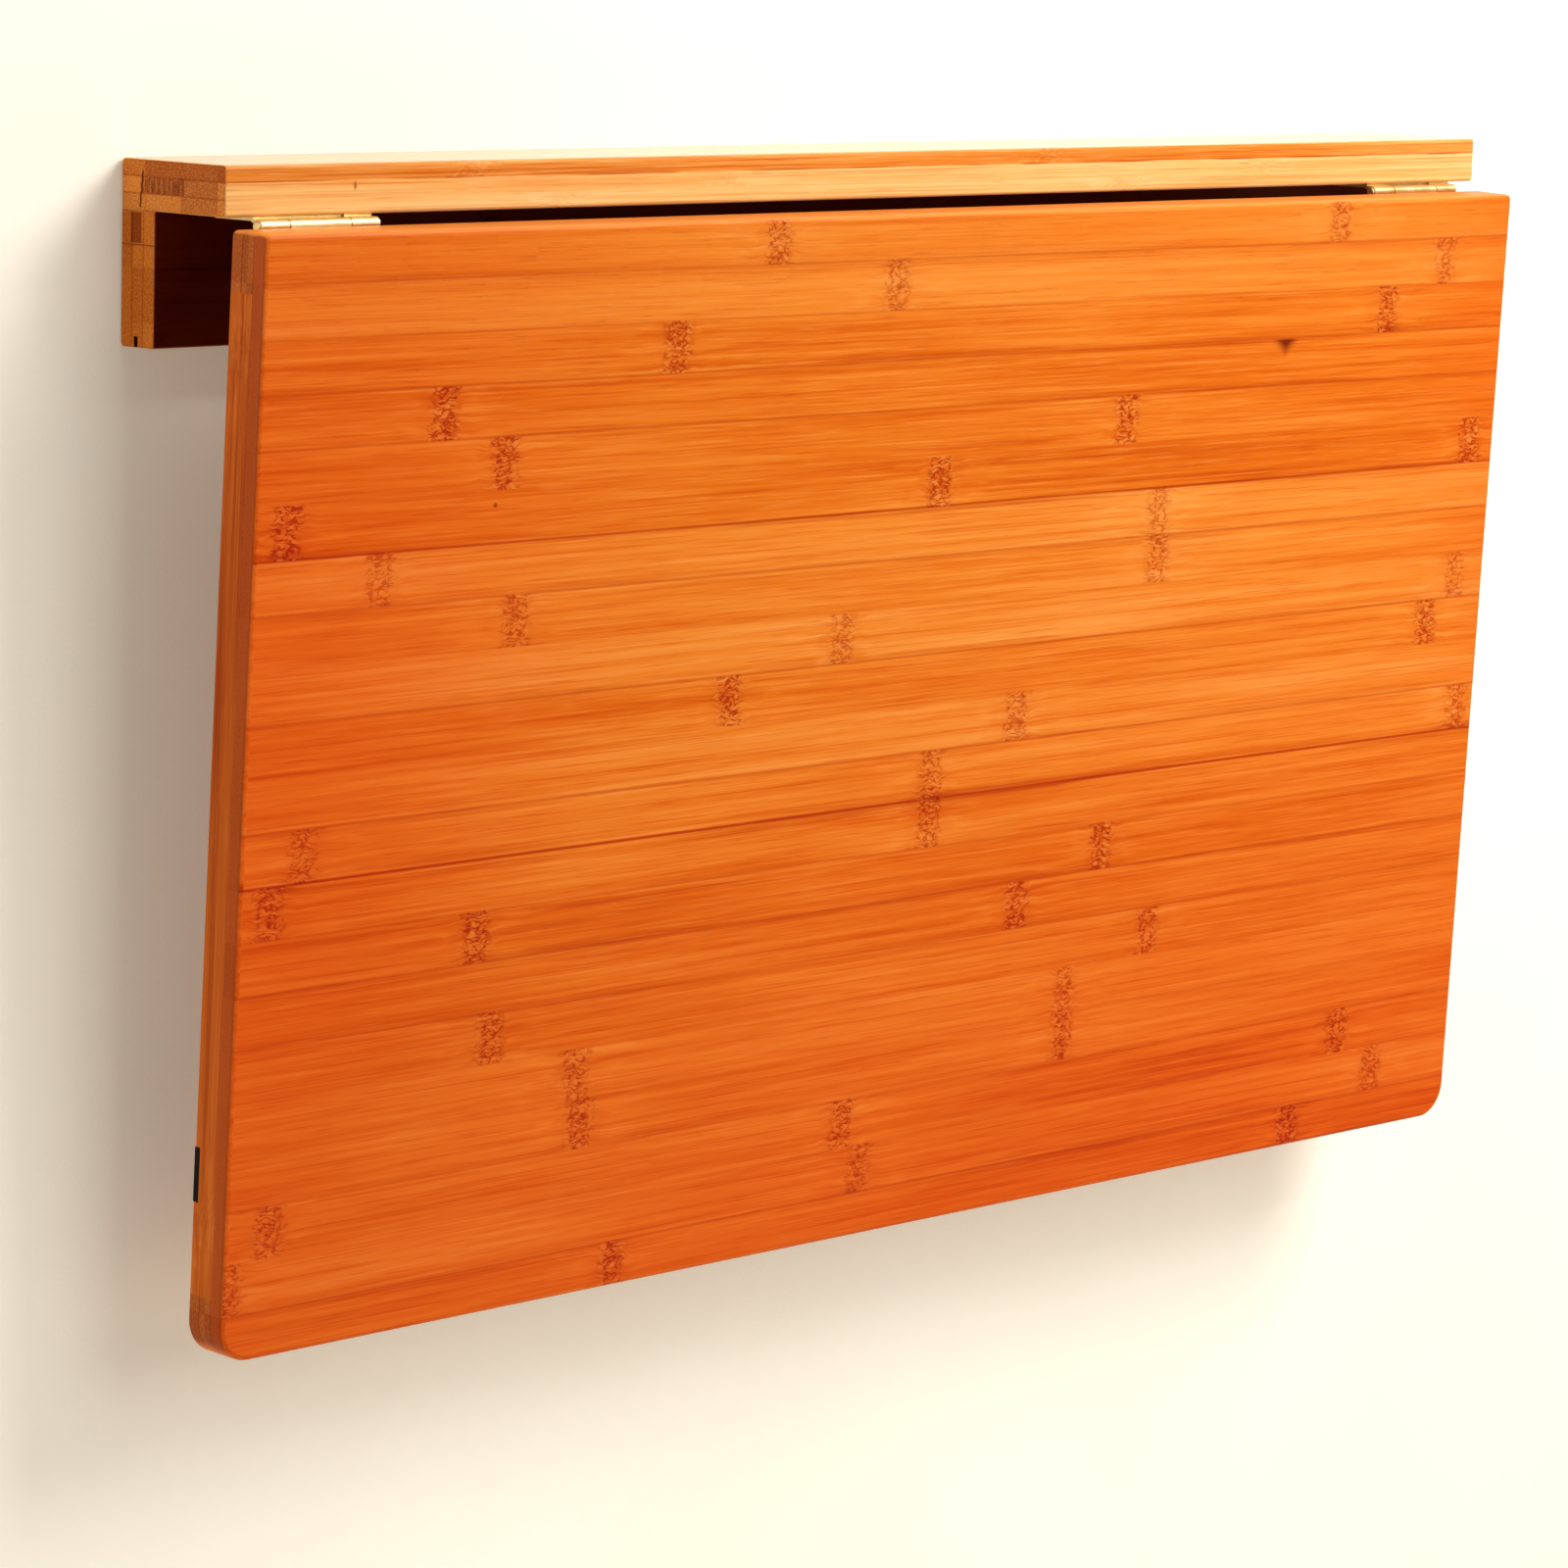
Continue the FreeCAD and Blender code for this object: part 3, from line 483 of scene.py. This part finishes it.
    def ply_seams(self, colour):
        """Glue lines between the plies: all of them on the ends, and a broken one along the edges."""
        finish = self.finish
        broken = finish.noise(finish.joined(self.x, 0, self.z), SEAM_BREAK_SIZE).rising(0.4, 0.6) * SEAM_STRENGTH
        broken = broken * self.plies.math("ROUND").math("COMPARE", BROKEN_SEAM, 0.5)
        seam = (gap_to_whole(self.plies) * PLY_THICKNESS).falling(0.1, 0.5) * (self.broad * -1 + 1)
        return finish.tinted(seam * broken.math("MAXIMUM", self.end * END_SEAM_STRENGTH), colour, GLUE_TINT)


def leaf_strips(bamboo):
    """The shade of the leaf's strip, and how far a point is from the nearest of its growth bands."""
    finish = bamboo.finish
    stops = []
    for index, (shade, places, _) in enumerate(LEAF_STRIPS):
        filled = (places * BAND_SLOTS)[:BAND_SLOTS]
        shares = [place / BAND_REACH / 2 + 0.5 for place in filled]
        stops.append((index / RAMP_STEPS, shares + [SHADES[shade]]))
    row = finish.ramp((bamboo.strip + 0.5) / RAMP_STEPS, stops, "CONSTANT")
    shade = Flow(finish.tree, row.socket.node.outputs["Alpha"])
    gaps = [(bamboo.x - (place - 0.5) * 2 * BAND_REACH).math("ABSOLUTE") for place in finish.split(row)]
    return shade, gaps[0].math("MINIMUM", gaps[1]).math("MINIMUM", gaps[2])


def leaf_joint_strength(bamboo):
    """How strongly the glued joint below a strip of the leaf shows."""
    stops = [(index / RAMP_STEPS, [JOINT_LINES[line]] * 3 + [1]) for index, (_, _, line) in enumerate(LEAF_STRIPS)]
    row = bamboo.finish.ramp((bamboo.joint + 0.5) / RAMP_STEPS, stops, "CONSTANT")
    return bamboo.finish.split(row)[0]


def chance_strips(bamboo):
    """A shade by chance, and the gap to the nearest of a strip's evenly spaced growth bands."""
    turns = bamboo.x / BAND_SPACING + bamboo.finish.chance(bamboo.strip, bamboo.ply, BAND_SEED)
    gap = (turns.math("FRACT") - 0.5).math("ABSOLUTE") * BAND_SPACING
    return bamboo.finish.chance(bamboo.strip, bamboo.ply, SHADE_SEED), gap


def chance_joint_strength(bamboo):
    """How strongly a glued joint shows, by chance."""
    return bamboo.finish.chance(bamboo.joint, bamboo.ply, JOINT_SEED) * 0.75 + 0.15


def lacquer(finish):
    finish.give(Coat_Weight=0.04, Coat_Roughness=0.3, Specular_IOR_Level=0.08)


def leaf_bamboo():
    """The leaf's rear is laid as its front is, turned end for end; the front alone has knots and painted shade that
    reddens its sides.
    """
    finish = Finish("leaf_bamboo")
    x, y, z = finish.split(finish.place(PIN_AXIS, HANGING))
    front = y.math("LESS_THAN", LEAF_MIDDLE)
    side = front * 2 - 1
    place = (x * side, y, z * side - (front * -1 + 1) * LEAF_SPAN)
    facing = finish.facing(HANGING)
    bamboo = Bamboo(finish, place, facing, LEAF_FIRST_JOINT, LEAF_FRONT)
    shade, gap = leaf_strips(bamboo)
    colour = bamboo.lay(shade, gap, leaf_joint_strength(bamboo), LEAF_TONES, LEAF_END_TONES)
    # Painted light: faces that look up are paler, as light falls on them from above
    colour = finish.mixed(facing[2].rising(0.2, 0.8) * 0.3, colour, LEAF_TONES[-1])
    front_ply = y.falling(BATTEN_FRONT - 1, BATTEN_FRONT)
    colour = finish.mixed(bamboo.end * front_ply * 0.7, colour, LEAF_END_FRONT_TONE)
    colour = finish.tinted(leaf_knots(x, z) * front, colour, KNOT_TINT)
    # Painted shade: the front is reddened and darkened to the left, below and at the right end, where less light
    # falls
    finish.give(Base_Color=finish.tinted(leaf_painted_shade(x, z) * bamboo.broad * front, colour, PAINTED_SHADE_TINT))
    lacquer(finish)
    return finish.material


def leaf_knots(x, z):
    """A wedge of dark wood that hangs from a joint, and a dot."""
    depth = z * -1 + KNOT_PLACE[1]
    wedge = ((x - KNOT_PLACE[0]).math("ABSOLUTE") + depth * KNOT_TAPER).falling(2.5, 11)
    knot = wedge * depth.rising(-0.5, 1)
    dot = spot_gap(x, z, PIN_KNOT_PLACE).falling(0.4, 1.3) * 0.8
    return knot.math("MAXIMUM", dot)


def leaf_painted_shade(x, z):
    """Painted shade: redder, darker wood to the left, below and at the right end, where less light falls."""
    left = x.falling(-350, -100) * (z.falling(-160, 20) * 0.5 + 0.5)
    below = z.falling(-430, -110) * 0.95
    right = x.rising(250, 420) * 0.5
    return left.math("MAXIMUM", below).math("MAXIMUM", right)


def board_bamboo(name, origin, turn, first_joint, front, wood, ends,
                 shade_of_ply=None, detail=None, end_variety=END_VARIETY):
    """A board of chance strips; a detail paints more on it from its place, facing and end grain."""
    finish = Finish(name)
    place = finish.split(finish.place(origin, turn))
    facing = finish.facing(turn)
    bamboo = Bamboo(finish, place, facing, first_joint, front)
    shade, gap = chance_strips(bamboo)
    if shade_of_ply:
        shade = shade * 0.3 + shade_of_ply(bamboo.ply)
    colour = bamboo.lay(shade, gap, chance_joint_strength(bamboo), wood, ends, end_variety)
    lacquer(finish)
    if detail:
        colour = detail(finish, colour, place, facing, bamboo.end)
    finish.give(Base_Color=colour)
    return finish.material


def shelf_ply_shade(ply):
    """Pale lower and middle plies under a dark top one."""
    return (ply * -1 + 2).rising(0, 1) * 1.05 - 0.4


def shelf_detail(finish, colour, place, facing, end):
    """A glossy top paled with painted light, a front with fine lines and a tick, and on the ends a stained patch and
    a crack.
    """
    x, y, z = place
    top = facing[1].rising(*BROAD_FACE)
    front = facing[2].rising(*BROAD_FACE)
    finish.give(Coat_Weight=top, Coat_Roughness=0.12)
    # Painted light: the top is mixed halfway to a pale cream, standing in for the light and sheen it catches
    colour = finish.mixed(top * 0.5, colour, SHELF_TOP_PAINTED_LIGHT)
    lines = finish.noise(finish.joined(x, y, z), SHELF_LINE_SIZE).rising(0.52, 0.68)
    colour = finish.tinted(lines * front * (y.rising(*SHELF_LINE_HEIGHTS) * 0.3 + 0.25), colour, GLUE_TINT)
    tick_place = (SHELF_TICK_PLACE[0] * SHELF_TICK_LENGTHENING, SHELF_TICK_PLACE[1])
    tick = spot_gap(x * SHELF_TICK_LENGTHENING, y, tick_place).falling(0.6, 2.2)
    colour = finish.tinted(tick * front * 0.7, colour, KNOT_TINT)
    streaks = finish.noise(finish.joined(0, y, z), SHELF_STAIN_STREAK_SIZE).falling(0.42, 0.58)
    stain = between(y, SHELF_STAIN_HEIGHTS) * between(z, SHELF_STAIN_DEPTHS) * (streaks * 0.5 + 0.5)
    colour = finish.tinted(stain * end, colour, STAIN_TINT)
    return finish.tinted(shelf_crack(finish, y, z) * end, colour, CRACK_TINT)


def shelf_crack(finish, y, z):
    """A fine crack that leans and wobbles up the shelf's end."""
    wobble = finish.noise(finish.joined(0, y, 0), CRACK_WOBBLE_SIZE) * CRACK_WOBBLE
    gap = (z - y * CRACK_LEAN - CRACK_START - wobble).math("ABSOLUTE")
    return gap.falling(0.2, 0.8) * between(y, CRACK_HEIGHTS, 1)


def plate_detail(finish, colour, place, facing, end):
    """A front darkened by painted shade for the recess under the shelf, and on the ends a dark patch in the middle
    ply with a fine line below it.
    """
    _, y, z = place
    # Painted shade: the front is darkened, as it lies in the shadowed recess under the shelf and behind the leaf
    colour = finish.tinted(facing[1].falling(-0.9, -0.4), colour, PLATE_FRONT_PAINTED_SHADE)
    stain = between(y, PLATE_STAIN_DEPTHS) * between(z, PLATE_STAIN_HEIGHTS)
    colour = finish.tinted(stain * end, colour, STAIN_TINT)
    line = (z - PLATE_LINE_HEIGHT).math("ABSOLUTE").falling(0.1, 0.4)
    return finish.tinted(line * end * 0.7, colour, CRACK_TINT)


# Metal, rubber and dowels


def metal(name, colours, roughness, scratch_lengths, metallic=1):
    """Metal with fine rubbed lines, dull patches and a slight change of colour."""
    finish = Finish(name)
    place = finish.place()
    lines = finish.noise(place, scratch_lengths, detail=3)
    patches = finish.noise(place, (6, 6, 6), detail=3)
    colour = finish.ramp(patches * 0.6 + lines * 0.4, [(0.3, linear(colours[0])), (0.7, linear(colours[1]))])
    finish.give(Base_Color=colour, Metallic=metallic)
    finish.give(Roughness=patches * 0.2 + lines * 0.15 + roughness)
    finish.bumped(lines, 0.02)
    return finish.material


def black_rubber(name, clean, dusty):
    """Dull rubber with a fine grain and a little dust."""
    finish = Finish(name)
    place = finish.place()
    grain = finish.noise(place, (0.5, 0.5, 0.5))
    dust = finish.noise(place, (9, 9, 9), detail=3).rising(0.5, 0.8)
    finish.give(Base_Color=finish.mixed(dust * 0.5, linear(clean), linear(dusty)), Specular_IOR_Level=0.15)
    finish.give(Roughness=grain * 0.2 + 0.62)
    finish.bumped(grain, 0.06)
    return finish.material


def dowel_wood():
    """Pale wood with a fine even grain."""
    finish = Finish("dowel_wood")
    grain = finish.noise(finish.place(), (0.8, 0.8, 0.8), detail=3)
    finish.give(Base_Color=finish.ramp(grain, [(0.35, linear("#C79A62")), (0.65, linear("#E2C08C"))]))
    finish.give(Roughness=grain * 0.2 + 0.5)
    finish.bumped(grain, 0.05)
    return finish.material


def board_finishes():
    """The bamboo of each board, by the node that wears it."""
    shelf = board_bamboo("shelf_bamboo", (0, 0, 0), LYING, SHELF_FIRST_JOINT, SHELF_UNDERSIDE,
                         SHELF_TONES, SHELF_END_TONES, shelf_ply_shade, shelf_detail)
    plate = board_bamboo("plate_bamboo", (0, 0, 0), UPRIGHT, PLATE_FIRST_JOINT, PLATE_FRONT,
                         PLATE_TONES, PLATE_END_TONES, detail=plate_detail, end_variety=PLATE_END_VARIETY)
    batten = board_bamboo("batten_bamboo", PIN_AXIS, HANGING_GRAIN_DOWN, BATTEN_FIRST_JOINT, BATTEN_FRONT,
                          BATTEN_TONES, BATTEN_END_TONES)
    stile = board_bamboo("stile_bamboo", PIVOT_AXIS, HANGING_GRAIN_DOWN, STILE_FIRST_JOINT, FRAME_FRONT,
                         FRAME_TONES, BATTEN_END_TONES)
    rail = board_bamboo("rail_bamboo", PIVOT_AXIS, HANGING, RAIL_FIRST_JOINT, FRAME_FRONT,
                        FRAME_TONES, BATTEN_END_TONES)
    finishes = {"shelf_board": shelf, "wall_plate": plate, "leaf_panel": leaf_bamboo(),
                "prop_upper_rail": rail, "prop_lower_rail": rail}
    for side in ("left", "right"):
        finishes[f"{side}_end_batten"] = batten
        finishes[f"{side}_prop_stile"] = stile
        finishes[f"{side}_pivot_block"] = stile
    return finishes


def fitting_finishes():
    """The metal, rubber and dowel wood of each fitting, by the node that wears it."""
    brass = metal("hinge_brass", ("#E6C478", "#FAE4B0"), 0.24, (8, 0.3, 0.3))
    screw = metal("screw_brass", ("#C7A35C", "#E8CB8A"), 0.2, (0.6, 0.6, 0.6))
    bright = metal("bright_steel", ("#B9BABB", "#DCDDDE"), 0.18, (0.3, 6, 6))
    nickel = metal("magnet_nickel", ("#A9A69F", "#CFCCC4"), 0.22, (2, 0.4, 2))
    black = metal("black_steel", ("#0E0D0D", "#1C1A19"), 0.42, (5, 0.6, 0.6), metallic=0.2)
    rubber = black_rubber("foot_rubber", "#26241F", "#4C473E")
    dowel = dowel_wood()
    finishes = {"stiffener_bar": black, "stiffener_screws": screw, "pivot_washers": bright,
                "shelf_dowels": dowel, "prop_rail_dowels": dowel}
    for side in ("left", "right"):
        finishes[f"{side}_hinge_shelf_plate"] = brass
        finishes[f"{side}_hinge_leaf_plate"] = brass
        finishes[f"{side}_hinge_pin"] = brass
        finishes[f"{side}_hinge_shelf_screws"] = screw
        finishes[f"{side}_hinge_leaf_screws"] = screw
        finishes[f"{side}_block_screws"] = screw
        finishes[f"{side}_pivot_pin"] = bright
        finishes[f"{side}_prop_magnet"] = nickel
        finishes[f"{side}_prop_foot"] = rubber
    return finishes


def dress_nodes():
    finishes = {**board_finishes(), **fitting_finishes()}
    for name, node in frame["nodes"].items():
        node.material_slots[0].material = finishes[name]


# Caps that close the groove at the bar's ends


def bar_end_cap(name, inner, outer, low, high, material):
    """A thin cap with rounded edges, made in the leaf's frame and hung with it."""
    shape = bmesh.new()
    bmesh.ops.create_cube(shape, size=1)
    size = (abs(outer - inner), high[1] - low[1], high[2] - low[2])
    middle = Vector(((inner + outer) / 2, (low[1] + high[1]) / 2, (low[2] + high[2]) / 2))
    bmesh.ops.scale(shape, vec=[length - CAP_FIT for length in size], verts=shape.verts)
    bmesh.ops.bevel(shape, geom=shape.edges[:], offset=CAP_EDGE, affect="EDGES", segments=2, profile=0.5, material=-1)
    hung = Matrix.Translation(PIN_AXIS) @ HANGING.to_4x4() @ Matrix.Translation(middle)
    bmesh.ops.transform(shape, matrix=hung, verts=shape.verts)
    mesh = bpy.data.meshes.new(name)
    shape.to_mesh(mesh)
    shape.free()
    mesh.materials.append(material)
    cap = bpy.data.objects.new(name, mesh)
    bpy.context.collection.objects.link(cap)
    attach(cap, "drop_leaf")


def bar_end_caps():
    """A cap at each end, from the bar's end out to the leaf's."""
    corners = [HANGING.transposed() @ (vertex.co - Vector(PIN_AXIS))
               for vertex in frame["nodes"]["stiffener_bar"].data.vertices]
    low = [min(corner[axis] for corner in corners) for axis in range(3)]
    high = [max(corner[axis] for corner in corners) for axis in range(3)]
    leaf_low, leaf_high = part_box("leaf_panel")
    rubber = black_rubber("cap_rubber", "#0A0404", "#160C0A")
    bar_end_cap("left_bar_cap", low[0], leaf_low[0], low, high, rubber)
    bar_end_cap("right_bar_cap", high[0], leaf_high[0], low, high, rubber)


# Room: a pale wall and a floor, both open from behind, soft lamps and the camera


def open_paint(name, first, second, glow):
    """Mottled paint that lets lamplight through to what is seen, but not to what only lights the paint back.

    It can't be seen from behind, and glows a little to the camera."""
    finish = Finish(name)
    mottle = finish.noise(finish.place(), (180, 180, 180), detail=3)
    finish.give(Base_Color=finish.ramp(mottle, [(0.3, linear(first)), (0.7, linear(second))]))
    finish.give(Roughness=mottle * 0.1 + 0.8)
    finish.bumped(finish.noise(finish.place(), (1.5, 1.5, 1.5)), 0.05)
    rays = finish.node("LightPath").outputs
    finish.give(Emission_Color=linear("#FFF3DC"))
    finish.give(Emission_Strength=Flow(finish.tree, rays["Is Camera Ray"]) * glow)
    behind = Flow(finish.tree, finish.node("NewGeometry").outputs["Backfacing"])
    first_bounce = Flow(finish.tree, rays["Diffuse Depth"]).math("LESS_THAN", 0.5)
    lamplight = Flow(finish.tree, rays["Is Shadow Ray"]) * first_bounce
    mixer = finish.node("MixShader")
    join(finish.tree, mixer.inputs[0], behind.math("MAXIMUM", lamplight))
    finish.tree.links.new(finish.shader.outputs[0], mixer.inputs[1])
    finish.tree.links.new(finish.node("BsdfTransparent").outputs[0], mixer.inputs[2])
    finish.tree.links.new(mixer.outputs[0], finish.tree.nodes["Material Output"].inputs["Surface"])
    return finish.material


def flat_sheet(name, location, turn, material):
    bpy.ops.mesh.primitive_plane_add(size=ROOM_SIZE, location=location, rotation=turn.to_euler())
    sheet = bpy.context.object
    sheet.name = name
    sheet.data.materials.append(material)


def room():
    flat_sheet("floor", (0, 0, FLOOR_LEVEL), UPRIGHT, open_paint("floor_paint", "#D6CFC4", "#E0DAD0", 0))
    flat_sheet("wall", (0, WALL_GAP, FLOOR_LEVEL + ROOM_SIZE / 2), LYING,
               open_paint("wall_paint", "#FBF8EF", "#FFFDF6", WALL_GLOW))
    world = bpy.data.worlds.new("room_light")
    world.use_nodes = True
    background = world.node_tree.nodes["Background"]
    background.inputs["Color"].default_value = linear("#FFFCF5")
    background.inputs["Strength"].default_value = ROOM_LIGHT
    bpy.context.scene.world = world
    bpy.context.scene.view_settings.view_transform = "Standard"


def lamps():
    """Soft square lamps, each turned to its aim."""
    for name, place, aim, size, power, colour in LAMPS:
        light = bpy.data.lights.new(name, "AREA")
        light.size = size
        light.energy = power
        light.color = linear(colour)[:3]
        holder = bpy.data.objects.new(name, light)
        bpy.context.collection.objects.link(holder)
        holder.location = place
        holder.rotation_euler = (Vector(aim) - Vector(place)).to_track_quat("-Z", "Y").to_euler()


def camera():
    """The camera that took the photograph, solved from the boards' corners."""
    lens = bpy.data.cameras.new("camera")
    lens.sensor_width = CAMERA_SENSOR
    lens.lens = CAMERA_LENS
    lens.clip_end = CAMERA_REACH
    holder = bpy.data.objects.new("camera", lens)
    bpy.context.collection.objects.link(holder)
    holder.location = CAMERA_PLACE
    holder.rotation_euler = [math.radians(angle) for angle in CAMERA_TURN]
    bpy.context.scene.camera = holder


dress_nodes()
bar_end_caps()
room()
lamps()
camera()
